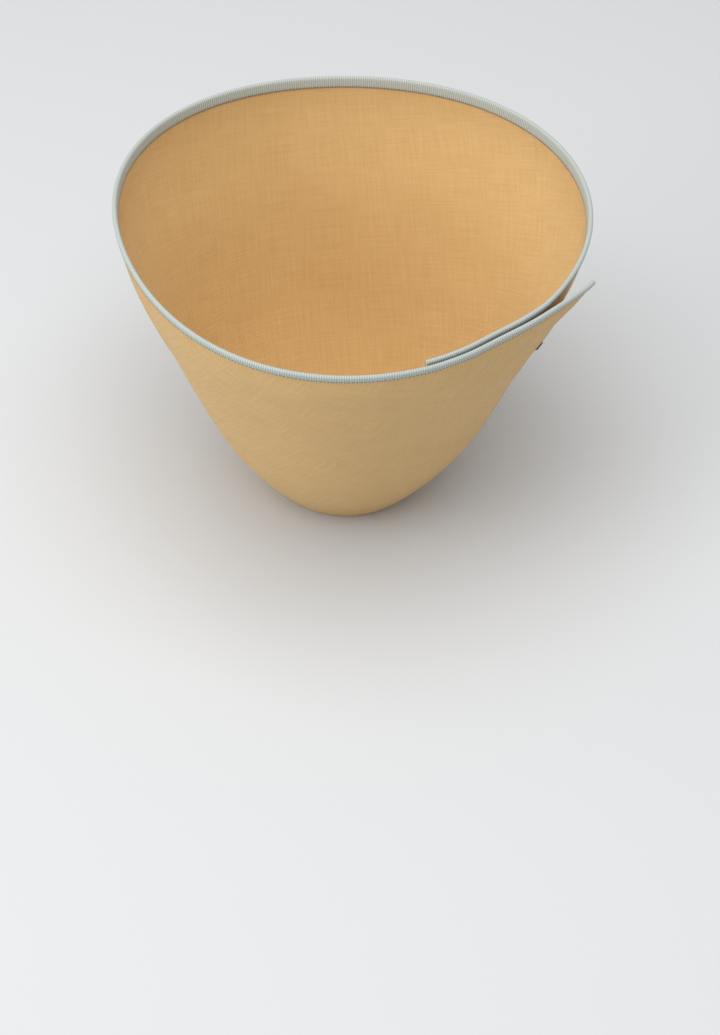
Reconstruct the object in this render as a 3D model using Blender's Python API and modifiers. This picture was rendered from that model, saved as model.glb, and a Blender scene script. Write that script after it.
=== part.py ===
"""Elizabethan collar: a stiff sheet rolled into a flaring cone, bound along its wide edge.

The cone stands on its narrow neck edge with the wide rim up. Everything is in metres, +Z is up the
cone, and the front, -Y, is the side where the sheet's ends overlap, a little to the right.

The sheet is one surface of two parameters. The wrap angle goes round the cone's axis, counted in
degrees from the front towards +X, and runs past a full turn where the flap lies over the inner
end. The height share goes from 0 at the neck edge to 1 at the rim.
"""

from typing import NamedTuple

import bmesh
import bpy
import numpy as np

# Driving sizes, in metres.
CONE_HEIGHT = 0.281
NECK_RADIUS = 0.0686
NECK_SHIFT = 0.0055
RIM_RADIUS = 0.195
WALL = 0.0016
CLEARANCE = 0.0003

# The roll, in degrees round the axis. The flap's lift grows with this power of the height share.
WRAP_START = 18.0
WRAP_OVERLAP = 49.3
SPIRAL_RISE = 80.0
FLAP_LIFT = 0.0118
FLAP_LIFT_POWER = 9.0
INNER_TUCK = 0.0087
RIM_LAYER_GAP = 0.0022

# The folded tape round the rim: its own thickness, and how far it reaches down each face.
TAPE = 0.0010
TAPE_OUTER_REACH = 0.0045
TAPE_INNER_REACH = 0.0085

# The hook-and-loop fastening between the layers. It lies across the wall, its middle this far below
# the rim along the slant, and its end shows a little past the flap's free end.
CLOSURE_THICKNESS = 0.0020
CLOSURE_CLEARANCE = 0.0004
CLOSURE_WIDTH = 0.016
CLOSURE_LENGTH = 0.060
CLOSURE_BELOW_RIM = 0.094
CLOSURE_SHOWING = 0.0018
CLOSURE_PRESS = 0.0040

# Height shares: how far the layers take to part round the fastening and below the tape, and how
# widely the fastening presses them in. The tape holds a straight stretch this many times its reach.
CLOSURE_FADE = 0.12
TAPE_FADE = 0.15
PRESS_SPREAD = 0.22
STRAIGHT_RUN = 1.4

# Mesh density.
PANEL_COLUMNS = 104
PANEL_ROWS = 15
ROW_CROWDING = 1.15
TAPE_ARC_STEPS = 5
CLOSURE_COLUMNS = 14
CLOSURE_ROWS = 3

# Steps along the surface that its directions are taken over, and how far it runs on below the floor.
TURN_STEP = 0.5
SHARE_STEP = 0.01
FLOOR_RUN_ON = 0.02


class FlareRow(NamedTuple):
    """How far the wall has flared from the neck radius to the rim radius."""

    height_share: float
    flare_share: float


FLARE = (
    FlareRow(height_share=0.00, flare_share=0.000),
    FlareRow(height_share=0.10, flare_share=0.160),
    FlareRow(height_share=0.25, flare_share=0.366),
    FlareRow(height_share=0.45, flare_share=0.566),
    FlareRow(height_share=0.65, flare_share=0.743),
    FlareRow(height_share=0.80, flare_share=0.885),
    FlareRow(height_share=0.90, flare_share=0.960),
    FlareRow(height_share=1.00, flare_share=1.000),
)


class RimWave(NamedTuple):
    """One wave of the slightly egg-shaped rim, as shares of the rim radius."""

    waves_round: int
    front_share: float
    side_share: float


RIM_WAVES = (
    RimWave(waves_round=2, front_share=0.001, side_share=0.003),
    RimWave(waves_round=3, front_share=0.025, side_share=-0.0055),
    RimWave(waves_round=4, front_share=-0.003, side_share=-0.0045),
)


class OverlapRow(NamedTuple):
    """How the two layers lie along the overlap, 0 at the inner end and 1 at the flap's free end:
    how far they are tucked in at the rim, pressed in at the fastening, and the flap lifted.
    """

    overlap_share: float
    tuck_share: float
    press_share: float
    lift_share: float


OVERLAP = (
    OverlapRow(overlap_share=0.00, tuck_share=0.82, press_share=0.00, lift_share=0.00),
    OverlapRow(overlap_share=0.20, tuck_share=0.91, press_share=0.12, lift_share=0.00),
    OverlapRow(overlap_share=0.40, tuck_share=1.00, press_share=0.40, lift_share=0.02),
    OverlapRow(overlap_share=0.60, tuck_share=0.60, press_share=0.70, lift_share=0.06),
    OverlapRow(overlap_share=0.75, tuck_share=0.28, press_share=0.88, lift_share=0.18),
    OverlapRow(overlap_share=0.85, tuck_share=0.20, press_share=0.96, lift_share=0.45),
    OverlapRow(overlap_share=1.00, tuck_share=0.13, press_share=1.00, lift_share=1.00),
    OverlapRow(overlap_share=1.40, tuck_share=0.00, press_share=0.55, lift_share=1.00),
    OverlapRow(overlap_share=2.20, tuck_share=0.00, press_share=0.00, lift_share=1.00),
)


def column(table, name):
    """One named column of a table as an array."""
    return np.array([getattr(row, name) for row in table], dtype=float)


def smooth_curve(x, knots, values):
    """A smooth curve through a table: cubic pieces whose slopes at the knots are the table's own."""
    slopes = np.gradient(values, knots)
    x = np.clip(x, knots[0], knots[-1])
    left = np.clip(np.searchsorted(knots, x, side="right") - 1, 0, len(knots) - 2)
    span = knots[left + 1] - knots[left]
    t = (x - knots[left]) / span
    start_weight = (1 + 2 * t) * (1 - t) ** 2
    end_weight = t ** 2 * (3 - 2 * t)
    start_slope_weight = t * (1 - t) ** 2 * span
    end_slope_weight = t ** 2 * (t - 1) * span
    return (
        start_weight * values[left]
        + end_weight * values[left + 1]
        + start_slope_weight * slopes[left]
        + end_slope_weight * slopes[left + 1]
    )


def flare_at(height_share):
    """The flare share at a height share, carried on straight below the neck edge."""
    knots = column(FLARE, "height_share")
    values = column(FLARE, "flare_share")
    neck_slope = (values[1] - values[0]) / (knots[1] - knots[0])
    below_neck = np.minimum(height_share, 0.0) * neck_slope
    return smooth_curve(height_share, knots, values) + below_neck


def wall_cosine(height_share):
    """The cosine of the wall's lean from the axis, which turns a gap across it into a radius."""
    rise = 2 * SHARE_STEP * CONE_HEIGHT
    below_rim = np.minimum(height_share, 1.0 - SHARE_STEP)
    flared = flare_at(below_rim + SHARE_STEP) - flare_at(below_rim - SHARE_STEP)
    run = flared * (RIM_RADIUS - NECK_RADIUS)
    return rise / np.hypot(rise, run)


def rim_radius_at(wrap):
    """The rim's radius round the axis: a circle with the table's waves added."""
    angle = np.radians(wrap)
    shares = np.ones_like(angle)
    for wave in RIM_WAVES:
        shares = shares + wave.front_share * np.cos(wave.waves_round * angle)
        shares = shares + wave.side_share * np.sin(wave.waves_round * angle)
    return RIM_RADIUS * shares


def straight_share():
    """The height share of the straight stretch below the rim that the tape takes hold of."""
    return STRAIGHT_RUN * max(TAPE_INNER_REACH, TAPE_OUTER_REACH) / CONE_HEIGHT


def closure_span():
    """The height shares of the fastening's middle, and of half its width."""
    slant = np.hypot(CONE_HEIGHT, RIM_RADIUS - NECK_RADIUS)
    return 1.0 - CLOSURE_BELOW_RIM / slant, CLOSURE_WIDTH / 2 / slant


def smooth_step(t):
    """0 below 0, 1 above 1, and a smooth rise between."""
    t = np.clip(t, 0.0, 1.0)
    return t * t * (3 - 2 * t)


def inner_tuck_at(wrap, height_share):
    """How far the inner layer lies in under the flap: a radius that fades to 0 at the neck, and the
    fastening's own press, a bell curve up the wall.
    """
    share = (wrap - WRAP_START) / WRAP_OVERLAP
    knots = column(OVERLAP, "overlap_share")
    tuck = smooth_curve(share, knots, column(OVERLAP, "tuck_share"))
    press = smooth_curve(share, knots, column(OVERLAP, "press_share"))
    bell = np.exp(-(((height_share - closure_span()[0]) / PRESS_SPREAD) ** 2))
    return INNER_TUCK * tuck * height_share + CLOSURE_PRESS * press * bell


def layer_step_at(height_share):
    """The radius between the middles of the two layers. They lie close where nothing is between
    them, and further apart over the fastening and over the tape at the rim.
    """
    middle, half_width = closure_span()
    from_closure = np.abs(height_share - middle) - 2 * half_width
    closure_share = 1.0 - smooth_step(from_closure / CLOSURE_FADE)
    below_tape = 1.0 - straight_share() - TAPE_FADE
    tape_share = smooth_step((height_share - below_tape) / TAPE_FADE)
    step = WALL + 2 * CLOSURE_CLEARANCE + CLOSURE_THICKNESS * closure_share
    step = step + (2 * TAPE + RIM_LAYER_GAP) * tape_share
    return step / wall_cosine(height_share)


def flap_lift_at(wrap, height_share):
    """How far the flap's free end stands off, most at its upper corner."""
    share = (wrap - 360.0 - WRAP_START) / WRAP_OVERLAP
    lift = smooth_curve(share, column(OVERLAP, "overlap_share"), column(OVERLAP, "lift_share"))
    return FLAP_LIFT * lift * np.clip(height_share, 0.0, 1.0) ** FLAP_LIFT_POWER


def sheet_radius(wrap, height_share):
    """The radius of the sheet's middle surface: the flared cone, tucked in under the flap at its
    inner end, and past a full turn one layer step and the flap's lift further out.
    """
    rim = rim_radius_at(wrap)
    cone = NECK_RADIUS + (rim - NECK_RADIUS) * flare_at(height_share)
    inner = cone - inner_tuck_at(wrap, height_share)
    under_flap = np.maximum(wrap - 360.0, WRAP_START)
    outer = cone - inner_tuck_at(under_flap, height_share) + layer_step_at(height_share)
    outer = outer + flap_lift_at(wrap, height_share)
    outer_share = smooth_step((wrap - 360.0 - WRAP_START + SPIRAL_RISE) / SPIRAL_RISE)
    return inner + (outer - inner) * outer_share


def around(wrap, radius, height_share):
    """Points at a radius round the cone's centre line, which leans away from the overlap towards
    the neck. At the rim it is at x = y = 0.
    """
    angle = np.radians(wrap)
    overlap_middle = np.radians(WRAP_START + WRAP_OVERLAP / 2)
    shift = NECK_SHIFT * (1.0 - flare_at(height_share))
    x = radius * np.sin(angle) - shift * np.sin(overlap_middle)
    y = shift * np.cos(overlap_middle) - radius * np.cos(angle)
    return np.stack([x, y, CONE_HEIGHT * height_share * np.ones_like(radius)], axis=-1)


def sheet_point(wrap, height_share):
    """Points of the sheet's middle surface."""
    return around(wrap, sheet_radius(wrap, height_share), height_share)


def unit(vectors):
    """Vectors brought to length 1."""
    return vectors / np.linalg.norm(vectors, axis=-1, keepdims=True)


def rim_frame(wrap):
    """The rim's points, with the directions out of the wall and up along it."""
    edge = sheet_point(wrap, np.ones_like(wrap))
    upward = unit(edge - sheet_point(wrap, np.full_like(wrap, 1.0 - straight_share())))
    ahead = sheet_point(wrap + TURN_STEP, np.ones_like(wrap))
    forward = unit(ahead - sheet_point(wrap - TURN_STEP, np.ones_like(wrap)))
    outward = unit(np.cross(forward, upward))
    return edge, outward, upward


def wrap_stations():
    """The wrap angles of the sheet's columns."""
    return np.linspace(WRAP_START, WRAP_START + 360.0 + WRAP_OVERLAP, PANEL_COLUMNS + 1)


def grid_mesh(name, points):
    """An open mesh over a grid of points, its faces pointing away from the cone's axis."""
    rows, columns = points.shape[:2]
    index = np.arange(rows * columns).reshape(rows, columns)
    corners = [index[:-1, :-1], index[:-1, 1:], index[1:, 1:], index[1:, :-1]]
    faces = np.stack(corners, axis=-1).reshape(-1, 4)
    mesh = bpy.data.meshes.new(name)
    mesh.from_pydata(points.reshape(-1, 3).tolist(), [], faces.tolist())
    mesh.shade_smooth()
    return mesh


def place(name, mesh, collection, axis, material):
    """An object for a mesh, in its collection and on the cone's axis."""
    piece = bpy.data.objects.new(name, mesh)
    collection.objects.link(piece)
    piece.parent = axis
    if material is not None:
        mesh.materials.append(material)
    return piece


def solidify(piece, thickness, offset):
    """Give an open surface its thickness."""
    wall = piece.modifiers.new("wall", "SOLIDIFY")
    wall.thickness = thickness
    wall.offset = offset
    wall.use_even_offset = True
    wall.use_quality_normals = True


def plain_material(name, colour, roughness):
    """A Principled material of one colour."""
    material = bpy.data.materials.new(name)
    material.use_nodes = True
    shader = material.node_tree.nodes["Principled BSDF"]
    shader.inputs["Base Color"].default_value = (*colour, 1.0)
    shader.inputs["Roughness"].default_value = roughness
    shader.inputs["Metallic"].default_value = 0.0
    return material


def build_panel(collection, cutters, axis):
    """The rolled sheet, run on a little below the floor and trimmed flat where it stands."""
    rising = 1.0 - (1.0 - np.linspace(0.0, 1.0, PANEL_ROWS)) ** ROW_CROWDING
    heights = np.concatenate([[-FLOOR_RUN_ON], rising * (1.0 - straight_share()), [1.0]])
    wrap, height_share = np.meshgrid(wrap_stations(), heights)
    mesh = grid_mesh("cone_panel", sheet_point(wrap, height_share))
    material = plain_material("camel_sheet", (0.46, 0.29, 0.12), 0.7)
    panel = place("cone_panel", mesh, collection, axis, material)
    solidify(panel, WALL, 0.0)

    trim_mesh = bpy.data.meshes.new("floor_trim")
    block = bmesh.new()
    bmesh.ops.create_cube(block, size=1.0)
    depth = 2 * FLOOR_RUN_ON * CONE_HEIGHT + WALL
    bmesh.ops.scale(block, vec=(4 * RIM_RADIUS, 4 * RIM_RADIUS, depth), verts=block.verts)
    bmesh.ops.translate(block, vec=(0.0, 0.0, -depth / 2), verts=block.verts)
    block.to_mesh(trim_mesh)
    block.free()
    trim = place("floor_trim", trim_mesh, cutters, axis, None)
    trim.hide_render = True
    trim.display_type = "WIRE"

    cut = panel.modifiers.new("flat neck edge", "BOOLEAN")
    cut.operation = "DIFFERENCE"
    cut.solver = "EXACT"
    cut.object = trim
    return panel


def tape_profile():
    """The folded tape's outer face across the rim, as distances out of the wall and up along it:
    up the outer side, over the edge in a half circle, and down the inner side.
    """
    radius = WALL / 2 + CLEARANCE + TAPE
    turn = np.linspace(0.0, np.pi, TAPE_ARC_STEPS + 1)
    out = np.concatenate([[radius], radius * np.cos(turn), [-radius]])
    up = np.concatenate([[-TAPE_OUTER_REACH], radius * np.sin(turn), [-TAPE_INNER_REACH]])
    return out, up


def build_binding(collection, axis):
    """The tape, its profile carried along the rim of both layers."""
    out, up = tape_profile()
    edge, outward, upward = rim_frame(wrap_stations())
    points = edge[None] + out[:, None, None] * outward[None] + up[:, None, None] * upward[None]
    mesh = grid_mesh("rim_binding", points)
    material = plain_material("grey_tape", (0.42, 0.45, 0.43), 0.85)
    binding = place("rim_binding", mesh, collection, axis, material)
    solidify(binding, TAPE, -1.0)
    return binding


def build_closure(collection, axis):
    """The fastening: a strip of even width that lies round the inner layer, under the flap."""
    middle, half_width = closure_span()
    across = np.linspace(middle - half_width, middle + half_width, CLOSURE_ROWS + 1)
    along = np.linspace(CLOSURE_SHOWING - CLOSURE_LENGTH, CLOSURE_SHOWING, CLOSURE_COLUMNS + 1)
    along, height_share = np.meshgrid(along, across)
    flap_end = WRAP_START + WRAP_OVERLAP
    wrap = flap_end + np.degrees(along / sheet_radius(np.full_like(along, flap_end), height_share))
    lift = (WALL / 2 + CLOSURE_CLEARANCE + CLOSURE_THICKNESS / 2) / wall_cosine(height_share)
    radius = sheet_radius(wrap, height_share) + lift
    mesh = grid_mesh("closure_strip", around(wrap, radius, height_share))
    material = plain_material("hook_and_loop", (0.05, 0.05, 0.05), 0.9)
    strip = place("closure_strip", mesh, collection, axis, material)
    solidify(strip, CLOSURE_THICKNESS, 0.0)
    return strip


def build_collar():
    """The whole collar, with its cone's axis set so that its box is centred on the origin."""
    for item in list(bpy.data.objects):
        bpy.data.objects.remove(item, do_unlink=True)
    collar = bpy.data.collections.new("elizabethan_collar")
    cutters = bpy.data.collections.new("cutters")
    bpy.context.scene.collection.children.link(collar)
    bpy.context.scene.collection.children.link(cutters)

    edge, outward, _ = rim_frame(wrap_stations())
    outline = edge + outward * (WALL / 2 + CLEARANCE + TAPE)
    middle = (outline.min(axis=0) + outline.max(axis=0)) / 2
    axis = bpy.data.objects.new("cone_axis", None)
    axis.location = (-middle[0], -middle[1], 0.0)
    collar.objects.link(axis)

    build_panel(collar, cutters, axis)
    build_binding(collar, axis)
    build_closure(collar, axis)
    bpy.context.view_layer.update()


build_collar()
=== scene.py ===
"""Looks of the elizabethan collar: a stiff camel canvas sheet rolled into a flaring cone, its wide
rim bound with a folded grey grosgrain tape that is sewn down on both sides.

Every surface is a function of the wrap angle round the cone and the height share from the neck
edge to the rim, the same as in the solids, so each piece lies where its solid lies.
"""

import logging
import math
from dataclasses import dataclass
from enum import Enum
from typing import Optional, Sequence, Union

import bpy
import numpy as np
from mathutils import Matrix, Vector


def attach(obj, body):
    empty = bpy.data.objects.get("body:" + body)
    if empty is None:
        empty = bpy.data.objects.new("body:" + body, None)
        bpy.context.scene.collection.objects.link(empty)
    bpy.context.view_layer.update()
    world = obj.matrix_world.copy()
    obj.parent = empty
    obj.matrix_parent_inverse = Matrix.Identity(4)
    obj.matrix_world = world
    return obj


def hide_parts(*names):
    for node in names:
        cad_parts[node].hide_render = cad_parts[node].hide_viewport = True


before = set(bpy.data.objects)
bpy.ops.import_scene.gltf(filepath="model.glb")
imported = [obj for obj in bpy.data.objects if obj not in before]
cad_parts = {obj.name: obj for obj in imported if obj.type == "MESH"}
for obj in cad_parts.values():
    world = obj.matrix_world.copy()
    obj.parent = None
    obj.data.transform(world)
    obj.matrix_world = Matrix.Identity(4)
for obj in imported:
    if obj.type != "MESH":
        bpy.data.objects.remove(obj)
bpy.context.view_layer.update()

LOG = logging.getLogger("collar")
FULL_TURN = 360.0
IMAGE_WIDTH = 720
IMAGE_HEIGHT = 1035

Array = np.ndarray
Colour = tuple[float, float, float]
Triple = tuple[float, float, float]


class Face(Enum):
    """The two faces of the sheet: the one away from the cone's axis, and the one towards it."""

    OUTSIDE = 1.0
    INSIDE = -1.0


def linear(red: int, green: int, blue: int) -> Colour:
    """An 8-bit screen colour as linear light, by the screen's curve: a straight line near black
    and a power of 2.4 above it.

    Args:
        red: Red, 0 to 255.
        green: Green, 0 to 255.
        blue: Blue, 0 to 255.

    Returns:
        The three channels as linear values from 0 to 1.
    """
    channels = np.array([red, green, blue]) / 255.0
    low = channels / 12.92
    high = ((channels + 0.055) / 1.055) ** 2.4
    return tuple(float(value) for value in np.where(channels <= 0.04045, low, high))


def smooth_step(t: Array) -> Array:
    """0 below 0, 1 above 1, and three times the square less twice the cube between."""
    t = np.clip(t, 0.0, 1.0)
    return t * t * (3.0 - 2.0 * t)


def smooth_curve(x: Array, knots: Array, values: Array) -> Array:
    """A smooth curve through a table: cubic pieces whose slopes at the knots are the table's own,
    carried on straight past both ends.

    Args:
        x: Where the curve is read.
        knots: The table's first column, rising.
        values: The table's second column.

    Returns:
        The curve's values at x.
    """
    slopes = np.gradient(values, knots)
    inside = np.clip(x, knots[0], knots[-1])
    left = np.clip(np.searchsorted(knots, inside, side="right") - 1, 0, len(knots) - 2)
    span = knots[left + 1] - knots[left]
    t = (inside - knots[left]) / span
    curve = (
        (1 + 2 * t) * (1 - t) ** 2 * values[left]
        + t**2 * (3 - 2 * t) * values[left + 1]
        + t * (1 - t) ** 2 * span * slopes[left]
        + t**2 * (t - 1) * span * slopes[left + 1]
    )
    return curve + (x - inside) * np.where(x > inside, slopes[-1], slopes[0])


def unit(vectors: Array) -> Array:
    """Vectors brought to length 1."""
    return vectors / np.linalg.norm(vectors, axis=-1, keepdims=True)


@dataclass(frozen=True)
class ConeForm:
    """The rolled sheet's middle surface, as a function of the wrap angle and the height share.

    The radius is the neck's at height share 0 and grows to the rim's along the flare table. The
    rim is a circle with two, three and four faint waves, each a row of their number and the shares
    of its cosine and sine. Past a full turn the sheet lies one layer step further out, and its free
    end lifts off at the upper corner. The overlap table says, at shares of the overlap, how far the
    inner layer is tucked in at the rim and pressed in at the fastening, and how far the flap lifts.
    """

    height: float = 0.281
    neck_radius: float = 0.0686
    neck_shift: float = 0.0055
    rim_radius: float = 0.195
    wall: float = 0.0016
    clearance: float = 0.0003
    wrap_start: float = 18.0
    wrap_overlap: float = 49.3
    spiral_rise: float = 80.0
    flap_lift: float = 0.0118
    flap_lift_power: float = 9.0
    inner_tuck: float = 0.0087
    rim_layer_gap: float = 0.0022
    tape_thickness: float = 0.0010
    tape_outer_reach: float = 0.0045
    tape_inner_reach: float = 0.0085
    closure_thickness: float = 0.0020
    closure_clearance: float = 0.0004
    closure_width: float = 0.016
    closure_below_rim: float = 0.094
    closure_press: float = 0.0040
    closure_fade: float = 0.12
    tape_fade: float = 0.15
    press_spread: float = 0.22
    straight_run: float = 1.4
    lean_step: float = 0.01
    flare_heights: tuple[float, ...] = (0.0, 0.10, 0.25, 0.45, 0.65, 0.80, 0.90, 1.0)
    flare_shares: tuple[float, ...] = (0.0, 0.160, 0.366, 0.566, 0.743, 0.885, 0.960, 1.0)
    rim_waves: tuple[tuple[int, float, float], ...] = (
        (2, 0.001, 0.003),
        (3, 0.025, -0.0055),
        (4, -0.003, -0.0045),
    )
    overlap_shares: tuple[float, ...] = (0.0, 0.20, 0.40, 0.60, 0.75, 0.85, 1.00, 1.40, 2.20)
    tuck_shares: tuple[float, ...] = (0.82, 0.91, 1.00, 0.60, 0.28, 0.20, 0.13, 0.0, 0.0)
    press_shares: tuple[float, ...] = (0.0, 0.12, 0.40, 0.70, 0.88, 0.96, 1.00, 0.55, 0.0)
    lift_shares: tuple[float, ...] = (0.0, 0.0, 0.02, 0.06, 0.18, 0.45, 1.00, 1.00, 1.00)

    @property
    def wrap_end(self) -> float:
        """The wrap angle of the flap's free end."""
        return self.wrap_start + FULL_TURN + self.wrap_overlap

    @property
    def straight_share(self) -> float:
        """The height share of the straight stretch that the tape takes hold of."""
        return self.straight_run * max(self.tape_inner_reach, self.tape_outer_reach) / self.height

    @property
    def slant(self) -> float:
        """The straight distance from the neck edge to the rim."""
        return math.hypot(self.height, self.rim_radius - self.neck_radius)

    @property
    def closure_middle(self) -> float:
        """The height share of the fastening's middle."""
        return 1.0 - self.closure_below_rim / self.slant

    def flare(self, share: Array) -> Array:
        """The flare share at a height share, read from the flare table."""
        return smooth_curve(share, np.array(self.flare_heights), np.array(self.flare_shares))

    def wall_cosine(self, share: Array) -> Array:
        """The cosine of the wall's lean from the axis: the rise over the slant of a short step.

        Args:
            share: Height shares.

        Returns:
            The cosines.
        """
        rise = 2 * self.lean_step * self.height
        widening = self.flare(share + self.lean_step) - self.flare(share - self.lean_step)
        run = widening * (self.rim_radius - self.neck_radius)
        return rise / np.hypot(rise, run)

    def rim_at(self, wrap: Array) -> Array:
        """The rim's radius: its circle times one plus a cosine and a sine for each row of waves.

        Args:
            wrap: Wrap angles in degrees.

        Returns:
            The radii.
        """
        angle = np.radians(wrap)
        shares = np.ones_like(angle)
        for waves, front, side in self.rim_waves:
            shares = shares + front * np.cos(waves * angle) + side * np.sin(waves * angle)
        return self.rim_radius * shares

    def layer_step(self, share: Array) -> Array:
        """The radius between the middles of the two layers: wide over the fastening and over the
        tape at the rim, narrow elsewhere.

        Args:
            share: Height shares.

        Returns:
            The steps outward, in metres.
        """
        from_closure = np.abs(share - self.closure_middle) - self.closure_width / self.slant
        closure = 1.0 - smooth_step(from_closure / self.closure_fade)
        below_tape = 1.0 - self.straight_share - self.tape_fade
        tape = smooth_step((share - below_tape) / self.tape_fade)
        step = self.wall + 2 * self.closure_clearance + self.closure_thickness * closure
        step = step + (2 * self.tape_thickness + self.rim_layer_gap) * tape
        return step / self.wall_cosine(share)

    def radius(self, wrap: Array, share: Array) -> Array:
        """The sheet's radius: the flared cone, pressed in under the flap at its inner end, and past
        a full turn one layer step and the flap's lift further out, with a smooth rise between.

        Args:
            wrap: Wrap angles in degrees.
            share: Height shares, of the same shape.

        Returns:
            The radii of the middle surface.
        """
        knots = np.array(self.overlap_shares)
        bell = np.exp(-(((share - self.closure_middle) / self.press_spread) ** 2))

        def over_table(from_start: Array, values: tuple[float, ...]) -> Array:
            """A column of the overlap table, read at angles past the overlap's start."""
            along = np.clip(from_start / self.wrap_overlap, 0.0, knots[-1])
            return smooth_curve(along, knots, np.array(values))

        def tuck(at: Array) -> Array:
            """How far the inner layer lies in: tucked at the rim, pressed in by a bell up the wall.

            Args:
                at: Wrap angles in degrees.

            Returns:
                The distances towards the centre, in metres.
            """
            tucked = self.inner_tuck * over_table(at - self.wrap_start, self.tuck_shares) * share
            pressed = self.closure_press * over_table(at - self.wrap_start, self.press_shares)
            return tucked + pressed * bell

        cone = self.neck_radius + (self.rim_at(wrap) - self.neck_radius) * self.flare(share)
        past_turn = wrap - FULL_TURN - self.wrap_start
        lift = self.flap_lift * over_table(past_turn, self.lift_shares)
        lift = lift * np.clip(share, 0.0, 1.0) ** self.flap_lift_power
        under = np.maximum(wrap - FULL_TURN, self.wrap_start)
        inner = cone - tuck(wrap)
        outer = cone - tuck(under) + self.layer_step(share) + lift
        rise = smooth_step((past_turn + self.spiral_rise) / self.spiral_rise)
        return inner + (outer - inner) * rise

    def around(self, wrap: Array, radius: Array, share: Array) -> Array:
        """Points at a radius round the cone's centre line, which leans away from the overlap
        towards the neck.

        Args:
            wrap: Wrap angles in degrees.
            radius: The radii, of the same shape.
            share: Height shares, of the same shape.

        Returns:
            The points, with the rim's own centre at x = y = 0.
        """
        angle = np.radians(wrap)
        middle = math.radians(self.wrap_start + self.wrap_overlap / 2)
        shift = self.neck_shift * (1.0 - self.flare(share))
        x = radius * np.sin(angle) - shift * math.sin(middle)
        y = shift * math.cos(middle) - radius * np.cos(angle)
        return np.stack([x, y, self.height * share * np.ones_like(radius)], axis=-1)

    def point(self, wrap: Array, share: Array) -> Array:
        """Points of the middle surface, with the rim's own centre at x = y = 0."""
        return self.around(wrap, self.radius(wrap, share), share)


@dataclass(frozen=True)
class Surface:
    """The middle surface placed in the model's frame, with its directions."""

    form: ConeForm
    turn_step: float = 0.25
    share_step: float = 0.002
    axis_stations: int = 105
    line_stations: int = 2000
    cloth_middle: float = 215.0

    @property
    def axis(self) -> Array:
        """Where the rim's own centre goes, so that the rim outline's box is centred on the origin.

        Returns:
            The shift as x, y and 0, in metres.
        """
        form = self.form
        wrap = np.linspace(form.wrap_start, form.wrap_end, self.axis_stations)
        edge, outward, _, _ = self.rim(wrap, placed=False)
        outline = edge + outward * (form.wall / 2 + form.clearance + form.tape_thickness)
        middle = (outline.min(axis=0) + outline.max(axis=0)) / 2
        return np.array([-middle[0], -middle[1], 0.0])

    def at(self, wrap: Array, share: Array) -> tuple[Array, Array, Array, Array]:
        """The surface's points and directions.

        Args:
            wrap: Wrap angles in degrees.
            share: Height shares, of the same shape.

        Returns:
            The points, and the unit directions out of the wall, up along it and forward round it,
            from the differences between neighbouring points.
        """
        point = self.form.point(wrap, share) + self.axis
        ahead = self.form.point(wrap + self.turn_step, share)
        behind = self.form.point(wrap - self.turn_step, share)
        above = self.form.point(wrap, share + self.share_step)
        below = self.form.point(wrap, share - self.share_step)
        forward = unit(ahead - behind)
        upward = unit(above - below)
        outward = unit(np.cross(forward, upward))
        return point, outward, upward, forward

    def rim(self, wrap: Array, placed: bool = True) -> tuple[Array, Array, Array, Array]:
        """The rim's points and directions, upward along the straight stretch that the tape holds.

        Args:
            wrap: Wrap angles in degrees.
            placed: Whether the points are in the model's frame or round the cone's own axis.

        Returns:
            The points, and the unit directions outward, upward and forward.
        """
        top = np.ones_like(wrap)
        edge = self.form.point(wrap, top)
        upward = unit(edge - self.form.point(wrap, top - self.form.straight_share))
        ahead = self.form.point(wrap + self.turn_step, top)
        forward = unit(ahead - self.form.point(wrap - self.turn_step, top))
        outward = unit(np.cross(forward, upward))
        if placed:
            edge = edge + self.axis
        return edge, outward, upward, forward

    def evenly(self, share: float, spacing: float, inset: float = 0.0) -> Array:
        """Wrap angles an even distance apart along a line of one height share.

        Args:
            share: The line's height share.
            spacing: The distance between neighbours, in metres.
            inset: The distance left free at both ends, in metres.

        Returns:
            The wrap angles in degrees.
        """
        wrap = np.linspace(self.form.wrap_start, self.form.wrap_end, self.line_stations)
        points = self.form.point(wrap, np.full_like(wrap, share))
        steps = np.linalg.norm(np.diff(points, axis=0), axis=1)
        travelled = np.concatenate([[0.0], np.cumsum(steps)])
        count = max(2, int(round((travelled[-1] - 2 * inset) / spacing)) + 1)
        wanted = np.linspace(inset, travelled[-1] - inset, count)
        return np.interp(wanted, travelled, wrap)

    def cloth_map(self, wrap: Array, share: Array) -> Array:
        """The sheet unrolled flat, in metres: a point's distance from the flat pattern's centre is
        its slant distance from the cone's tip, and its turn there is the wrap angle from the
        cloth's middle, shrunk so that the rim keeps its length.

        Args:
            wrap: Wrap angles in degrees.
            share: Height shares, of the same shape.

        Returns:
            The flat coordinates, one pair a point.
        """
        form = self.form
        tip = form.slant * form.neck_radius / (form.rim_radius - form.neck_radius)
        distance = tip + form.slant * share
        turn = np.radians(wrap - self.cloth_middle) * form.rim_radius / (tip + form.slant)
        return np.stack([distance * np.sin(turn), -distance * np.cos(turn)], axis=-1)


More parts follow.
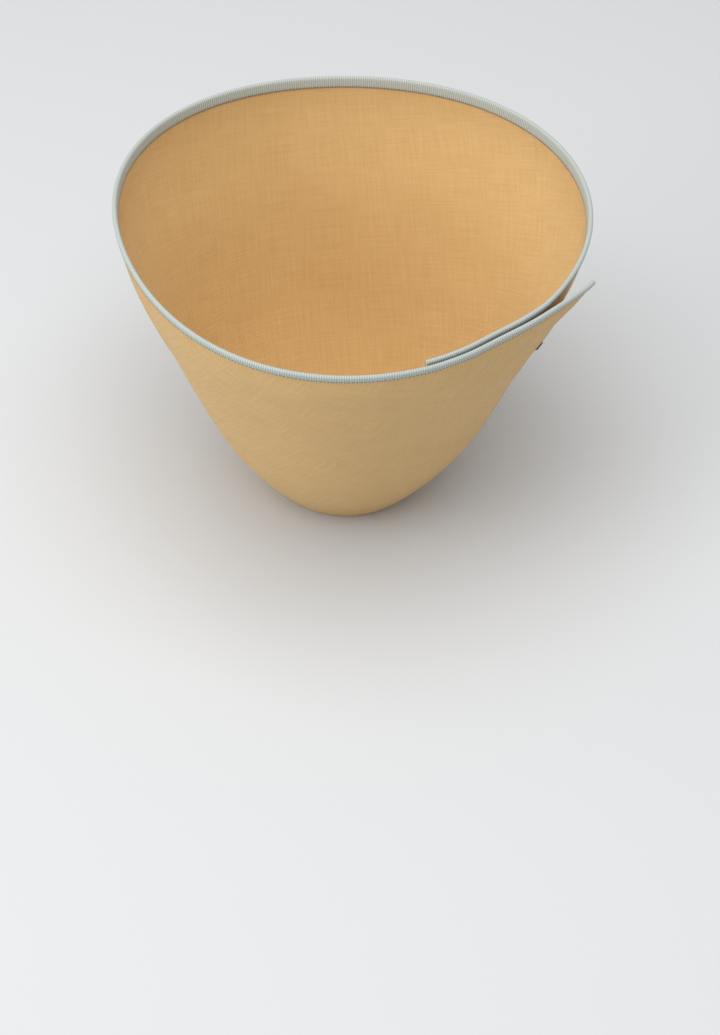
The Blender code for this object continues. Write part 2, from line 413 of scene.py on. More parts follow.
def mesh_from(
    name: str, points: Array, faces: Array, uv: Optional[Array] = None
) -> bpy.types.Object:
    """An object whose mesh is filled from whole arrays.

    Args:
        name: The piece's name.
        points: One row a vertex.
        faces: One row of four or three vertex numbers a face.
        uv: One pair a vertex, or None.

    Returns:
        The object, smooth-shaded, at the origin and linked to the scene.
    """
    mesh = bpy.data.meshes.new(name)
    corners = faces.shape[1]
    mesh.vertices.add(len(points))
    mesh.vertices.foreach_set("co", points.astype(np.float32).ravel())
    mesh.loops.add(faces.size)
    mesh.loops.foreach_set("vertex_index", faces.astype(np.int32).ravel())
    mesh.polygons.add(len(faces))
    mesh.polygons.foreach_set("loop_start", np.arange(0, faces.size, corners, dtype=np.int32))
    if uv is not None:
        layer = mesh.uv_layers.new(name="cloth")
        layer.data.foreach_set("uv", uv[faces.ravel()].astype(np.float32).ravel())
    mesh.update(calc_edges=True)
    mesh.validate()
    mesh.shade_smooth()
    piece = bpy.data.objects.new(name, mesh)
    bpy.context.scene.collection.objects.link(piece)
    return piece


def grid_faces(index: Array) -> Array:
    """The faces over a grid of vertex numbers, counter-clockwise from its lower left."""
    corners = [index[:-1, :-1], index[:-1, 1:], index[1:, 1:], index[1:, :-1]]
    return np.stack(corners, axis=-1).reshape(-1, 4)


def shell_faces(rows: int, columns: int) -> Array:
    """The faces of a closed shell between two grids, the first grid facing out of the wall.

    The grids' vertices follow each other. The first grid's faces turn one way, the second's the
    other, and a strip joins the two along each of the four borders.

    Args:
        rows: Rows of each grid.
        columns: Columns of each grid.

    Returns:
        Four vertex numbers a face.
    """
    front = np.arange(rows * columns).reshape(rows, columns)
    back = front + rows * columns

    def strip(near: Array, far: Array) -> Array:
        """The faces between two borders."""
        return np.stack([near[:-1], far[:-1], far[1:], near[1:]], axis=-1)

    return np.concatenate(
        [
            grid_faces(front),
            grid_faces(back)[:, ::-1],
            strip(front[0], back[0]),
            strip(back[-1], front[-1]),
            strip(back[:, 0], front[:, 0]),
            strip(front[:, -1], back[:, -1]),
        ]
    )


def rounded(distance: Array, radius: float, least: float = 0.12) -> Array:
    """A rounded edge's fullness: a quarter circle of the radius, and never less than a share."""
    t = np.clip(1.0 - distance / radius, 0.0, 1.0)
    return np.maximum(np.sqrt(1.0 - t * t), least)


Socket = Union[bpy.types.NodeSocket, float]
# The values of a pattern that count as none and as all of it, and its share of the colour at most.
Tone = tuple[float, float, float]


@dataclass(frozen=True)
class Touch:
    """How a finish takes the light: its fine relief, its roughness and its fibres' sheen."""

    relief_depth: float
    relief_strength: float
    smoothest: float
    roughness_range: float
    sheen: float


class Graph:
    """A material's node tree, built by short calls."""

    SHEEN_ROUGHNESS = 0.5
    SPECULAR_LEVEL = 0.25

    def __init__(self, name: str) -> None:
        """Start a material with its Principled shader.

        Args:
            name: The material's name.
        """
        self.material = bpy.data.materials.new(name)
        self.material.use_nodes = True
        self.tree = self.material.node_tree
        self.shader = self.tree.nodes["Principled BSDF"]

    def feed(self, socket: bpy.types.NodeSocket, value: Union[Socket, Sequence[float]]) -> None:
        """Link a socket to another, or set its value.

        Args:
            socket: The socket that takes the value.
            value: The other socket, a number, or a colour or vector.
        """
        if isinstance(value, bpy.types.NodeSocket):
            self.tree.links.new(value, socket)
        else:
            socket.default_value = value

    def math(self, operation: str, first: Socket, second: Socket = 0.0) -> Socket:
        """A Math node.

        Args:
            operation: Blender's name of the operation.
            first: The first value.
            second: The second value, where the operation has one.

        Returns:
            The node's output.
        """
        node = self.tree.nodes.new("ShaderNodeMath")
        node.operation = operation
        self.feed(node.inputs[0], first)
        self.feed(node.inputs[1], second)
        return node.outputs[0]

    def line(self, value: Socket, slope: float, start: float) -> Socket:
        """A value times a slope, plus a start."""
        return self.math("ADD", self.math("MULTIPLY", value, slope), start)

    def coordinates(self, kind: str) -> Socket:
        """Object coordinates, or the piece's own UV map, as a vector."""
        node = self.tree.nodes.new("ShaderNodeTexCoord")
        return node.outputs[kind]

    def mapped(self, vector: Socket, scale: Sequence[float], turn: float = 0.0) -> Socket:
        """A vector scaled and turned by a Mapping node.

        Args:
            vector: The vector.
            scale: The factors along its three axes.
            turn: The turn about Z, in degrees.

        Returns:
            The new vector.
        """
        node = self.tree.nodes.new("ShaderNodeMapping")
        self.feed(node.inputs["Vector"], vector)
        node.inputs["Scale"].default_value = scale
        node.inputs["Rotation"].default_value = (0.0, 0.0, math.radians(turn))
        return node.outputs["Vector"]

    def noise(
        self, vector: Socket, scale: float = 1.0, detail: float = 2.0, roughness: float = 0.5
    ) -> Socket:
        """A noise texture.

        Args:
            vector: The coordinates it is read at.
            scale: How fine it is.
            detail: How many finer layers lie over it.
            roughness: How strong the finer layers are.

        Returns:
            Its value, about 0.5 on average.
        """
        node = self.tree.nodes.new("ShaderNodeTexNoise")
        self.feed(node.inputs["Vector"], vector)
        node.inputs["Scale"].default_value = scale
        node.inputs["Detail"].default_value = detail
        node.inputs["Roughness"].default_value = roughness
        return node.outputs["Fac"]

    def clouds(self, scale: float) -> Socket:
        """Broad soft patches on Object coordinates."""
        return self.noise(self.coordinates("Object"), scale, detail=4.0, roughness=0.6)

    def parts(self, vector: Socket) -> tuple[Socket, Socket, Socket]:
        """A vector's three components.

        Args:
            vector: The vector.

        Returns:
            Its x, y and z.
        """
        node = self.tree.nodes.new("ShaderNodeSeparateXYZ")
        self.feed(node.inputs[0], vector)
        return node.outputs[0], node.outputs[1], node.outputs[2]

    def wave(self, coordinate: Socket, pitch: float) -> Socket:
        """A sine of a coordinate that repeats once every two pitches, so each pitch is a thread."""
        angle = self.math("MULTIPLY", coordinate, math.pi / pitch)
        return self.math("SINE", angle)

    def between(self, value: Socket, low: float, high: float) -> Socket:
        """A value from low..high spread to 0..1 and held there.

        Args:
            value: The value.
            low: What becomes 0.
            high: What becomes 1.

        Returns:
            The spread value.
        """
        node = self.tree.nodes.new("ShaderNodeMapRange")
        self.feed(node.inputs["Value"], value)
        node.inputs["From Min"].default_value = low
        node.inputs["From Max"].default_value = high
        return node.outputs["Result"]

    def portion(self, value: Socket, low: float, high: float, most: float) -> Socket:
        """A value from low..high spread to 0..most."""
        return self.math("MULTIPLY", self.between(value, low, high), most)

    def blend(
        self, share: Socket, first: Union[Socket, Colour], second: Union[Socket, Colour]
    ) -> Socket:
        """A mix of two colours.

        Args:
            share: The second colour's share.
            first: The first colour, as a socket or fixed.
            second: The second colour, as a socket or fixed.

        Returns:
            The mixed colour.
        """
        node = self.tree.nodes.new("ShaderNodeMix")
        node.data_type = "RGBA"
        self.feed(node.inputs["Factor"], share)
        for place, value in (("A", first), ("B", second)):
            socket = [s for s in node.inputs if s.name == place and s.type == "RGBA"][0]
            self.feed(socket, (*value, 1.0) if isinstance(value, tuple) else value)
        return [s for s in node.outputs if s.type == "RGBA"][0]

    def bump(self, height: Socket, distance: float, strength: float) -> Socket:
        """A Bump node.

        Args:
            height: The relief, as shares of the distance.
            distance: The relief's depth in metres.
            strength: How strongly it shows, up to 1.

        Returns:
            The bent normal.
        """
        node = self.tree.nodes.new("ShaderNodeBump")
        self.feed(node.inputs["Height"], height)
        node.inputs["Distance"].default_value = distance
        node.inputs["Strength"].default_value = strength
        return node.outputs["Normal"]

    def finish(
        self, colour: Socket, relief: Socket, mottle: Socket, touch: Touch
    ) -> bpy.types.Material:
        """Feed the shader and hand over the material.

        Args:
            colour: The base colour.
            relief: The height that bends the normal.
            mottle: What makes the roughness uneven, 0 to 1.
            touch: The relief's depth, the roughness and the sheen, the same all over.

        Returns:
            The finished material.
        """
        normal = self.bump(relief, touch.relief_depth, touch.relief_strength)
        roughness = self.line(mottle, touch.roughness_range, touch.smoothest)
        self.feed(self.shader.inputs["Base Color"], colour)
        self.feed(self.shader.inputs["Roughness"], roughness)
        self.feed(self.shader.inputs["Normal"], normal)
        self.shader.inputs["Sheen Weight"].default_value = touch.sheen
        self.shader.inputs["Sheen Roughness"].default_value = self.SHEEN_ROUGHNESS
        self.shader.inputs["Specular IOR Level"].default_value = self.SPECULAR_LEVEL
        return self.material


@dataclass(frozen=True)
class CanvasFinish:
    """A matt plain-woven canvas, laid out on the unrolled sheet so its threads run straight."""

    colour: Colour
    shade: Colour
    worn: Colour
    thread: float = 0.0009
    thread_turn: float = 8.0
    gap_shade_range: tuple[float, float] = (-0.9, 0.6)
    weave_height: float = 0.5
    yarns_across: float = 620.0
    yarns_along: float = 26.0
    yarn_tone: Tone = (0.35, 0.65, 0.45)
    cloud_scale: float = 9.0
    cloud_tone: Tone = (0.35, 0.7, 0.16)
    touch: Touch = Touch(0.00028, 0.8, smoothest=0.68, roughness_range=0.12, sheen=0.06)

    def material(self) -> bpy.types.Material:
        """Threads over and under each other as a product of two sines, with painted shade in the
        gaps between them, uneven yarns as noise drawn out along each direction, and broad faint
        clouds of colour.

        Returns:
            The canvas material.
        """
        graph = Graph("camel_canvas")
        cloth = graph.mapped(graph.coordinates("UV"), (1.0, 1.0, 1.0), turn=self.thread_turn)
        across, along, _ = graph.parts(cloth)
        crossing = graph.wave(across, self.thread), graph.wave(along, self.thread)
        weave = graph.math("MULTIPLY", *crossing)
        warp = graph.noise(graph.mapped(cloth, (self.yarns_across, self.yarns_along, 1.0)))
        weft = graph.noise(graph.mapped(cloth, (self.yarns_along, self.yarns_across, 1.0)))
        yarns = graph.math("MULTIPLY", graph.math("ADD", warp, weft), 0.5)
        clouds = graph.clouds(self.cloud_scale)
        # Painted shade: the gaps between the threads take the darker shade colour.
        ground = graph.blend(graph.between(weave, *self.gap_shade_range), self.shade, self.colour)
        ground = graph.blend(graph.portion(yarns, *self.yarn_tone), ground, self.worn)
        ground = graph.blend(graph.portion(clouds, *self.cloud_tone), ground, self.shade)
        relief = graph.math("ADD", graph.math("MULTIPLY", weave, self.weave_height), yarns)
        return graph.finish(ground, relief, clouds, self.touch)


@dataclass(frozen=True)
class TapeFinish:
    """A grosgrain tape: dull yarn whose ribs are in the mesh, with fine fibres between them."""

    colour: Colour
    shade: Colour
    rib: float
    furrow_shade_range: tuple[float, float] = (-1.0, 0.7)
    cloud_scale: float = 14.0
    cloud_tone: Tone = (0.3, 0.7, 0.2)
    fibre_scale: Triple = (900.0, 4200.0, 1.0)
    fibre_tone: Tone = (0.4, 0.7, 0.25)
    touch: Touch = Touch(0.00012, 0.6, smoothest=0.72, roughness_range=0.15, sheen=0.12)

    def material(self) -> bpy.types.Material:
        """Ribs with painted shade in their furrows, by a cosine along the tape, and fine threads
        across them.

        Returns:
            The tape material.
        """
        graph = Graph("grey_grosgrain")
        along, _, _ = graph.parts(graph.coordinates("UV"))
        furrow_shade = graph.math("COSINE", graph.math("MULTIPLY", along, 2 * math.pi / self.rib))
        clouds = graph.clouds(self.cloud_scale)
        fibres = graph.noise(graph.mapped(graph.coordinates("UV"), self.fibre_scale))
        # Painted shade: the furrows between the ribs take the darker shade colour.
        ground = graph.blend(graph.between(furrow_shade, *self.furrow_shade_range), self.shade, self.colour)
        ground = graph.blend(graph.portion(clouds, *self.cloud_tone), ground, self.shade)
        ground = graph.blend(graph.portion(fibres, *self.fibre_tone), ground, self.colour)
        return graph.finish(ground, fibres, fibres, self.touch)


@dataclass(frozen=True)
class ThreadFinish:
    """A twisted sewing thread with a slight lustre."""

    name: str
    colour: Colour
    shade: Colour
    twist_scale: Triple = (2600.0, 2600.0, 900.0)
    twist_range: tuple[float, float] = (0.3, 0.7)
    tone_scale: float = 60.0
    touch: Touch = Touch(0.0001, 0.5, smoothest=0.42, roughness_range=0.2, sheen=0.05)

    def material(self) -> bpy.types.Material:
        """Fine streaks of noise for the twist, between a light and a shaded tone.

        Returns:
            The thread material.
        """
        graph = Graph(self.name)
        place = graph.coordinates("Object")
        twist = graph.noise(graph.mapped(place, self.twist_scale), detail=1.0)
        tone = graph.noise(place, self.tone_scale)
        colour = graph.blend(graph.between(twist, *self.twist_range), self.shade, self.colour)
        return graph.finish(colour, twist, tone, self.touch)


@dataclass(frozen=True)
class HookLoopFinish:
    """The black fastening: a dull field of fine loops."""

    colour: Colour
    shade: Colour
    loop_scale: float = 1500.0
    loop_range: tuple[float, float] = (0.35, 0.65)
    touch: Touch = Touch(0.0006, 0.9, smoothest=0.85, roughness_range=0.1, sheen=0.3)

    def material(self) -> bpy.types.Material:
        """Loops as fine cells of noise over a dark ground.

        Returns:
            The fastening's material.
        """
        graph = Graph("black_hook_and_loop")
        place = graph.coordinates("Object")
        loops = graph.noise(place, self.loop_scale, detail=3.0, roughness=0.7)
        colour = graph.blend(graph.between(loops, *self.loop_range), self.shade, self.colour)
        return graph.finish(colour, loops, loops, self.touch)


@dataclass
class RolledSheet:
    """The canvas sheet itself, a closed shell with softly rounded edges."""

    surface: Surface
    finish: CanvasFinish
    columns: int = 430
    rows: int = 64
    edge_radius: float = 0.0008
    edge_steps: tuple[float, ...] = (0.0, 0.08, 0.3, 0.65, 1.0)

    def shares(self) -> Array:
        """Height shares from the neck edge, raised so that the slanted edge just meets the floor,
        up to the rim: close together at the rounded edge, then even.

        Returns:
            The shares, rising.
        """
        form = self.surface.form
        lean = math.sqrt(1.0 - float(form.wall_cosine(np.array(0.0))) ** 2)
        low = form.wall / 2 * lean / form.height
        edge = low + np.array(self.edge_steps) * self.edge_radius / form.height
        return np.concatenate([edge, np.linspace(edge[-1], 1.0, self.rows)[1:]])

    def wraps(self) -> Array:
        """Wrap angles from the inner end to the flap's free end, close together at both ends.

        Returns:
            The angles in degrees, rising.
        """
        form = self.surface.form
        width = math.degrees(self.edge_radius / form.rim_radius)
        edge = np.array(self.edge_steps) * width
        middle = np.linspace(form.wrap_start + width, form.wrap_end - width, self.columns)
        edge = edge[:-1]
        return np.concatenate([form.wrap_start + edge, middle, form.wrap_end - edge[::-1]])

    def build(self) -> bpy.types.Object:
        """The middle surface moved half a wall out and half a wall in along its own direction, the
        wall thinned along a quarter circle at the neck edge and at both ends.

        Returns:
            The sheet's object.
        """
        form = self.surface.form
        wrap, share = np.meshgrid(self.wraps(), self.shares())
        point, outward, _, _ = self.surface.at(wrap, share)
        from_neck = (share - share.min()) * form.height
        radius = form.radius(wrap, share)
        from_end = np.radians(np.minimum(wrap - form.wrap_start, form.wrap_end - wrap)) * radius
        full = rounded(from_neck, self.edge_radius) * rounded(from_end, self.edge_radius)
        half = (form.wall / 2 * full)[..., None] * outward
        points = np.concatenate([(point + half).reshape(-1, 3), (point - half).reshape(-1, 3)])
        flat = self.surface.cloth_map(wrap, share).reshape(-1, 2)
        faces = shell_faces(*wrap.shape)
        return mesh_from("rolled_sheet", points, faces, np.concatenate([flat, flat]))

    def dress(self, piece: bpy.types.Object) -> None:
        """Give the sheet its canvas and its place in the table.

        Args:
            piece: The sheet's object.
        """
        piece.data.materials.append(self.finish.material())
        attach(piece, "root")
        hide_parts("cone_panel")


@dataclass
class RimTape:
    """The grosgrain tape folded over the rim, its ribs running across it."""

    surface: Surface
    finish: TapeFinish
    rib: float = 0.0019
    stations_per_rib: int = 4
    rib_height: float = 0.00013
    thickness: float = 0.0010
    snugness: float = 0.0001
    hem_radius: float = 0.0006
    hem_least: float = 0.35
    end_least: float = 0.4
    stitch_inset: float = 0.0011
    stitch_dip: float = 0.00028
    stitch_spread: float = 0.0007
    side_steps: int = 4
    arc_steps: int = 5

    @property
    def station(self) -> float:
        """The distance between two stations along the rim."""
        return self.rib / self.stations_per_rib

    def profile(self) -> tuple[Array, Array, Array]:
        """The fold across the rim, from the outer hem over the edge to the inner hem.

        Returns:
            The direction of each step, as its share outward and upward, the place on the wall that
            it stands on, and the distance travelled across the tape.
        """
        form = self.surface.form
        outer = np.linspace(-form.tape_outer_reach, 0.0, self.side_steps + 1)
        inner = np.linspace(0.0, -form.tape_inner_reach, self.side_steps + 2)
        turn = np.linspace(0.0, np.pi, self.arc_steps + 2)[1:-1]
        direction = np.concatenate([np.zeros(len(outer)), turn, np.full(len(inner), np.pi)])
        foot = np.concatenate([outer, np.zeros(len(turn)), inner])
        reach = form.wall / 2 + self.snugness + self.thickness
        travelled = np.abs(np.diff(foot)) + np.diff(direction) * reach
        across = np.concatenate([[0.0], np.cumsum(travelled)])
        return np.stack([np.cos(direction), np.sin(direction)]), foot, across

    def swell(self, foot: Array) -> Array:
        """The tape's thickness across its width: pressed in along both stitch lines by a bell
        curve, and rounded off at both hems.

        Args:
            foot: The profile's places on the wall, as distances up from the rim.

        Returns:
            The thickness at each.
        """
        form = self.surface.form
        direction = np.sign(self.profile()[0][0])
        hem = np.where(direction > 0, form.tape_outer_reach, form.tape_inner_reach)
        from_hem = hem + foot
        from_stitch = (from_hem - self.stitch_inset) / self.stitch_spread
        dip = self.stitch_dip * np.exp(-(from_stitch**2))
        return self.thickness * rounded(from_hem, self.hem_radius, self.hem_least) - dip

    def build(self) -> bpy.types.Object:
        """The profile carried along the rim, its outer face raised by a cosine once a rib.

        Returns:
            The tape's object.
        """
        form = self.surface.form
        wrap = self.surface.evenly(1.0, self.station)
        edge, outward, upward, _ = self.surface.rim(wrap)
        shares, foot, across = self.profile()
        inner_reach = form.wall / 2 + self.snugness
        step = np.arange(len(wrap))
        ribs = self.rib_height * (0.5 - 0.5 * np.cos(2 * np.pi * step / self.stations_per_rib))
        from_end = np.minimum(step, step[::-1]) * self.station
        taper = rounded(from_end, self.hem_radius, self.end_least)
        outer_reach = inner_reach + (self.swell(foot)[:, None] + ribs[None]) * taper[None]

        def carried(reach: Array) -> Array:
            """The profile's points at a reach from the wall's middle, along the whole rim."""
            side = shares[0][:, None, None] * outward + shares[1][:, None, None] * upward
            return edge + foot[:, None, None] * upward + reach[..., None] * side

        outer = carried(outer_reach)
        inner = carried(np.full_like(outer_reach, inner_reach))
        points = np.concatenate([outer.reshape(-1, 3), inner.reshape(-1, 3)])
        flat = np.stack(np.broadcast_arrays(step * self.station, across[:, None]), axis=-1)
        flat = flat.reshape(-1, 2)
        faces = shell_faces(*outer.shape[:2])
        return mesh_from("rim_tape", points, faces, np.concatenate([flat, flat]))

    def dress(self, piece: bpy.types.Object) -> None:
        """Give the tape its grosgrain and its place in the table.

        Args:
            piece: The tape's object.
        """
        piece.data.materials.append(self.finish.material())
        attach(piece, "root")
        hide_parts("rim_binding")


@dataclass
class StitchRow:
    """A row of stitches, each a plump grain of thread that dips into the cloth at both ends."""

    name: str
    centres: Array
    along: Array
    outward: Array
    length: float = 0.0024
    thread: float = 0.00034
    fullness: float = 0.6
    dip: float = 1.1
    rings: int = 5
    sides: int = 6

    def template(self) -> tuple[Array, Array]:
        """One stitch, as a round grain: rings of a circle whose radius is a power of the sine of an
        angle that runs from end to end, bent down by the cube of the distance from its middle,
        with a point at each end.

        Returns:
            The vertices as shares along, aside and out, and the triangles.
        """
        angle = np.linspace(0.0, np.pi, self.rings + 2)[1:-1]
        around = np.arange(self.sides) * 2 * np.pi / self.sides
        x = np.repeat(np.cos(angle), self.sides)
        radius = np.repeat(np.sin(angle) ** self.fullness, self.sides)
        y = radius * np.tile(np.cos(around), self.rings)
        z = radius * np.tile(np.sin(around), self.rings)
        body = np.stack([x, y, z], axis=1)
        body = np.concatenate([body, [[1.0, 0.0, 0.0], [-1.0, 0.0, 0.0]]])
        body[:, 2] -= self.dip * np.abs(body[:, 0]) ** 3
        index = np.arange(self.rings * self.sides).reshape(self.rings, self.sides)
        ahead = np.roll(index, -1, axis=1)
        lower = np.stack([index[:-1], index[1:], ahead[:-1]], axis=-1).reshape(-1, 3)
        upper = np.stack([ahead[:-1], index[1:], ahead[1:]], axis=-1).reshape(-1, 3)
        first = np.full(self.sides, self.rings * self.sides)
        caps = [np.stack([first, index[0], ahead[0]], axis=-1)]
        caps.append(np.stack([first + 1, ahead[-1], index[-1]], axis=-1))
        return body, np.concatenate([lower, upper, *caps])

    def build(self) -> bpy.types.Object:
        """The template set down at every centre, along the row and out of the cloth.

        Returns:
            The row as one object.
        """
        body, triangles = self.template()
        aside = unit(np.cross(self.outward, self.along))
        axes = [self.along * self.length / 2, aside * self.thread, self.outward * self.thread]
        grains = np.einsum("vk,nkc->nvc", body, np.stack(axes, axis=1))
        points = self.centres[:, None] + grains
        shift = np.arange(len(self.centres))[:, None, None] * len(body)
        faces = (triangles[None] + shift).reshape(-1, 3)
        return mesh_from(self.name, points.reshape(-1, 3), faces)


@dataclass
class Sewing:
    """All the visible stitching: both hems of the tape, and tone-on-tone rows round the sheet."""

    surface: Surface
    tape: RimTape
    tape_thread_and_hem_shadow: ThreadFinish
    sheet_thread: ThreadFinish
    pitch: float = 0.0031
    edge_inset: float = 0.0055
    foot_insets: float = 1.6
    tape_room: float = 0.002
    tape_rise: float = 0.00008
    sheet_rise: float = 0.00005
    fine_thread: float = 0.00026

    def tape_row(self, face: Face) -> StitchRow:
        """The row along one hem of the tape.

        Args:
            face: The side of the sheet that the hem is on.

        Returns:
            The row.
        """
        form = self.surface.form
        wrap = self.surface.evenly(1.0, self.pitch, inset=self.pitch)
        edge, outward, upward, forward = self.surface.rim(wrap)
        reach = form.tape_outer_reach if face is Face.OUTSIDE else form.tape_inner_reach
        out = form.wall / 2 + self.tape.snugness + self.tape.thickness - self.tape.stitch_dip
        side = outward * face.value
        centres = edge + side * (out + self.tape_rise)
        centres = centres - upward * (reach - self.tape.stitch_inset)
        return StitchRow(f"tape_stitches_{face.name.lower()}", centres, forward, side)

    def neck_row(self, face: Face) -> StitchRow:
        """The row round the neck edge on one face of the sheet.

        Args:
            face: The side of the sheet that the row is on.

        Returns:
            The row.
        """
        share = self.edge_inset / self.surface.form.height
        wrap = self.surface.evenly(share, self.pitch, inset=self.edge_inset)
        name = f"neck_stitches_{face.name.lower()}"
        return self.sheet_row(name, wrap, np.full_like(wrap, share), face, False)

    def end_row(self, name: str, wrap_edge: float, turn: float, face: Face) -> StitchRow:
        """The row up one end of the sheet.

        Args:
            name: The row's name.
            wrap_edge: The wrap angle of that end.
            turn: 1 where the sheet lies past the end's angle, -1 where it lies before it.
            face: The side of the sheet that the row is on.

        Returns:
            The row, a steady distance in from the end.
        """
        form = self.surface.form
        low = self.foot_insets * self.edge_inset / form.height
        high = 1.0 - (form.tape_inner_reach + self.tape_room) / form.height
        count = int(round((high - low) * form.slant / self.pitch))
        share = np.linspace(low, high, count)
        radius = form.radius(np.full_like(share, wrap_edge), share)
        wrap = wrap_edge + turn * np.degrees(self.edge_inset / radius)
        return self.sheet_row(name, wrap, share, face, True)

    def sheet_row(
        self, name: str, wrap: Array, share: Array, face: Face, climbs: bool
    ) -> StitchRow:
        """A row laid on the bare sheet.

        Args:
            name: The row's name.
            wrap: The stitches' wrap angles in degrees.
            share: Their height shares, of the same shape.
            face: The side of the sheet that the row is on.
            climbs: Whether the row runs up the wall or round it.

        Returns:
            The row.
        """
        point, outward, upward, forward = self.surface.at(wrap, share)
        side = outward * face.value
        centres = point + side * (self.surface.form.wall / 2 + self.sheet_rise)
        along = upward if climbs else forward
        return StitchRow(name, centres, along, side, thread=self.fine_thread)

    def build(self) -> None:
        """Build and dress every row."""
        form = self.surface.form
        # Painted shadow: the tape's rows are sewn in a thread much darker than the tape, so they
        # stand for the thin shadow under the tape's hems as well as for the stitches.
        grey = self.tape_thread_and_hem_shadow.material()
        camel = self.sheet_thread.material()
        for face in Face:
            word = face.name.lower()
            flap = self.end_row(f"flap_stitches_{word}", form.wrap_end, -1.0, face)
            inner = self.end_row(f"inner_end_stitches_{word}", form.wrap_start, 1.0, face)
            self.add(self.tape_row(face), grey, "rim_tape")
            for row in (self.neck_row(face), flap, inner):
                self.add(row, camel, "cone_sheet")

    def add(self, row: StitchRow, material: bpy.types.Material, slot: str) -> None:
        """Build one row and give it its thread and body.

        Args:
            row: The row.
            material: The thread's material.
            slot: The material slot that the row belongs to; not used.
        """
        piece = row.build()
        piece.data.materials.append(material)
        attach(piece, "root")
        LOG.info("%s: %d stitches", row.name, len(row.centres))


@dataclass
class Fastening:
    """The black hook-and-loop strip, whose end runs on past the flap as a small pull tab."""

    surface: Surface
    finish: HookLoopFinish
    length: float = 0.0080
    root: float = 0.0015
    bend: float = 0.0056
    thickness: float = 0.0013
    corner: float = 0.0030
    width_share: float = 0.45
    crowding: float = 0.8
    side_round: float = 0.12
    end_round: float = 0.0006
    edge_least: float = 0.4
    rows: int = 17
    columns: int = 18

    def build(self) -> bpy.types.Object:
        """The tab: from the strip's middle at the flap's end straight on round the cone, bent out
        by the square of the distance, its corners rounded by a quarter circle.

        Returns:
            The tab's object.
        """
        form = self.surface.form
        rows = np.linspace(-1.0, 1.0, self.rows)
        across, along = np.meshgrid(rows, np.linspace(0.0, 1.0, self.columns))
        along = -self.root + along**self.crowding * (self.length + self.root)
        half_width = self.width_share * form.closure_width
        full = rounded(self.length - along, self.corner, 0.0)
        width = 1.0 - self.corner / half_width * (1.0 - full)
        share = form.closure_middle + across * half_width / form.slant * width
        wrap = np.full_like(share, form.wrap_start + form.wrap_overlap)
        point, outward, _, forward = self.surface.at(wrap, share)
        lift = form.wall / 2 + form.closure_clearance + form.closure_thickness / 2
        bend = self.bend * (np.maximum(along, 0.0) / self.length) ** 2
        middle = point + (lift + bend)[..., None] * outward + along[..., None] * forward
        slope = 2 * self.bend * np.maximum(along, 0.0) / self.length**2
        side = unit(outward - slope[..., None] * forward)
        edge = rounded(1.0 - np.abs(across), self.side_round, self.edge_least)
        edge = edge * rounded(self.length - along, self.end_round, self.edge_least)
        half = (self.thickness / 2 * edge)[..., None] * side
        points = np.concatenate([(middle + half).reshape(-1, 3), (middle - half).reshape(-1, 3)])
        return mesh_from("closure_tab", points, shell_faces(*share.shape)[:, ::-1])

    def dress(self, tab: bpy.types.Object, strip: bpy.types.Object) -> None:
        """Give the tab and the strip the same black pile.

        Args:
            tab: The pull tab.
            strip: The CAD strip, which is shown as it is.
        """
        material = self.finish.material()
        for piece in (tab, strip):
            piece.data.materials.clear()
            piece.data.materials.append(material)
        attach(tab, "root")


@dataclass(frozen=True)
class Lamp:
    """A soft square lamp that faces a target."""

    name: str
    place: Triple
    target: Triple
    size: float
    power: float

    def hang(self) -> None:
        """Put the lamp into the scene."""
        light = bpy.data.lights.new(self.name, "AREA")
        light.shape = "SQUARE"
        light.size = self.size
        light.energy = self.power
        lamp = bpy.data.objects.new(self.name, light)
        lamp.location = self.place
        towards = Vector(self.target) - Vector(self.place)
        lamp.rotation_euler = towards.to_track_quat("-Z", "Y").to_euler()
        bpy.context.scene.collection.objects.link(lamp)


@dataclass
class Studio:
    """The pale floor, a broad lamp overhead that lights the inside, a key lamp from the left, and
    an even sky.
    """

    floor_colour: Colour
    floor_size: float = 90.0
    floor_lines: int = 9
    floor_dimming: float = 0.985
    grain_scale: float = 400.0
    touch: Touch = Touch(0.0001, 0.1, smoothest=0.85, roughness_range=0.05, sheen=0.0)
    sky_strength: float = 0.56
    lamps: tuple[Lamp, ...] = (
        Lamp("top_lamp", (-0.2, -0.45, 2.6), (0.0, 0.0, 0.1), size=2.4, power=55.0),
        Lamp("key_lamp", (-2.3, -1.1, 1.3), (0.0, 0.0, 0.15), size=1.6, power=25.0),
    )

    def floor(self) -> bpy.types.Object:
        """A wide flat sheet of faces at height 0, with a barely uneven matt finish.

        Returns:
            The floor.
        """
        side = np.linspace(-self.floor_size / 2, self.floor_size / 2, self.floor_lines)
        x, y = np.meshgrid(side, side)
        points = np.stack([x, y, np.zeros_like(x)], axis=-1).reshape(-1, 3)
        floor = mesh_from("studio_floor", points, grid_faces(np.arange(x.size).reshape(x.shape)))
        graph = Graph("studio_paper")
        grain = graph.noise(graph.coordinates("Object"), self.grain_scale)
        dimmer = tuple(self.floor_dimming * channel for channel in self.floor_colour)
        colour = graph.blend(grain, self.floor_colour, dimmer)
        floor.data.materials.append(graph.finish(colour, grain, grain, self.touch))
        return floor

    def light(self) -> None:
        """Set the sky, hang the lamps and keep the colours as the shaders give them."""
        world = bpy.data.worlds.new("studio_sky")
        world.use_nodes = True
        background = world.node_tree.nodes["Background"]
        background.inputs["Color"].default_value = (1.0, 1.0, 1.0, 1.0)
        background.inputs["Strength"].default_value = self.sky_strength
        bpy.context.scene.world = world
        for lamp in self.lamps:
            lamp.hang()
        bpy.context.scene.view_settings.view_transform = "Standard"


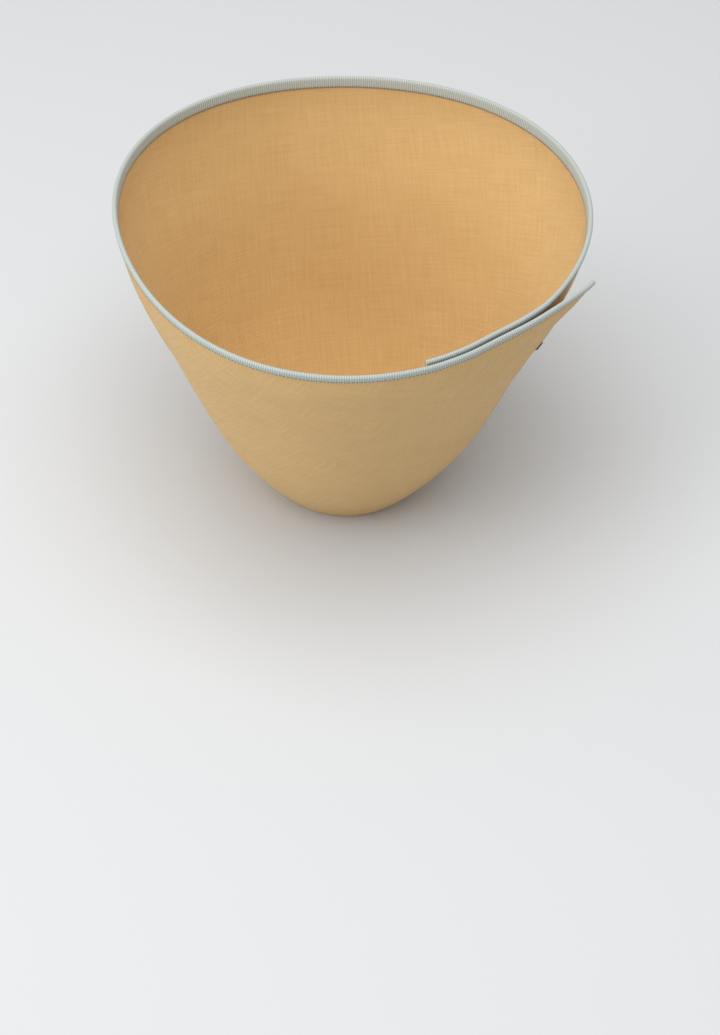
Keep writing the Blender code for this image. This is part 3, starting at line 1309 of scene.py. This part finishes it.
@dataclass(frozen=True)
class Viewpoint:
    """The photograph's view: where the rim's middle falls in the picture, and from how far and how
    high it is seen.
    """

    elevation: float = 38.23
    distance: float = 2.006
    roll: float = 0.94
    rim_column: float = 351.56
    rim_row: float = 214.24
    lens: float = 85.0
    sensor: float = 36.0
    nearest: float = 0.05
    farthest: float = 60.0

    def place(self, rim_middle: Array) -> bpy.types.Object:
        """Set up the camera: looking straight at the rim's middle first, rolled about that line,
        then turned so that the middle falls on its pixel.

        Args:
            rim_middle: The middle of the rim, in metres.

        Returns:
            The camera.
        """
        data = bpy.data.cameras.new("photo_camera")
        data.lens = self.lens
        data.sensor_width = self.sensor
        data.clip_start = self.nearest
        data.clip_end = self.farthest
        camera = bpy.data.objects.new("photo_camera", data)
        bpy.context.scene.collection.objects.link(camera)
        rise = math.radians(self.elevation)
        back = Vector((0.0, -math.cos(rise), math.sin(rise)))
        straight = (-back).to_track_quat("-Z", "Y").to_matrix()
        rolled = straight @ Matrix.Rotation(math.radians(self.roll), 3, "Z")
        focal = IMAGE_HEIGHT * self.lens / self.sensor
        column = self.rim_column - IMAGE_WIDTH / 2
        row = IMAGE_HEIGHT / 2 - self.rim_row
        ray = Vector((column / focal, row / focal, -1.0)).normalized()
        turned = rolled @ ray.rotation_difference(Vector((0.0, 0.0, -1.0))).to_matrix()
        stand = Matrix.Translation(Vector(rim_middle) + back * self.distance)
        camera.matrix_world = stand @ turned.to_4x4()
        bpy.context.scene.camera = camera
        return camera


def report(piece: bpy.types.Object) -> None:
    """Log a piece's name and how many faces it has."""
    LOG.info("%s: %d faces", piece.name, len(piece.data.polygons))


def main() -> None:
    """Build the camera, the light and every piece of the collar."""
    logging.basicConfig(level=logging.INFO, format="%(name)s: %(message)s")
    form = ConeForm()
    surface = Surface(form)
    Viewpoint().place(surface.axis + np.array([0.0, 0.0, form.height]))
    studio = Studio(floor_colour=linear(206, 208, 210))
    studio.floor()
    studio.light()

    canvas = CanvasFinish(
        colour=linear(217, 181, 123), shade=linear(188, 149, 93), worn=linear(228, 196, 143)
    )
    sheet = RolledSheet(surface, canvas)
    piece = sheet.build()
    sheet.dress(piece)
    report(piece)

    grosgrain = TapeFinish(linear(190, 197, 192), linear(146, 152, 147), rib=RimTape.rib)
    tape = RimTape(surface, grosgrain)
    piece = tape.build()
    tape.dress(piece)
    report(piece)

    # Partly real stitching, partly painted shadow: this dark thread near the hems stands for the
    # thin shadow under the tape's hems.
    tape_thread_and_hem_shadow = ThreadFinish("grey_thread_and_hem_shadow", linear(112, 117, 114), linear(66, 70, 68))
    sheet_thread = ThreadFinish("camel_thread", linear(206, 168, 114), linear(168, 128, 80))
    Sewing(surface, tape, tape_thread_and_hem_shadow, sheet_thread).build()

    fastening = Fastening(surface, HookLoopFinish(linear(48, 46, 44), linear(14, 14, 14)))
    tab = fastening.build()
    fastening.dress(tab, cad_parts["closure_strip"])
    report(tab)


if __name__ == "__main__":
    main()
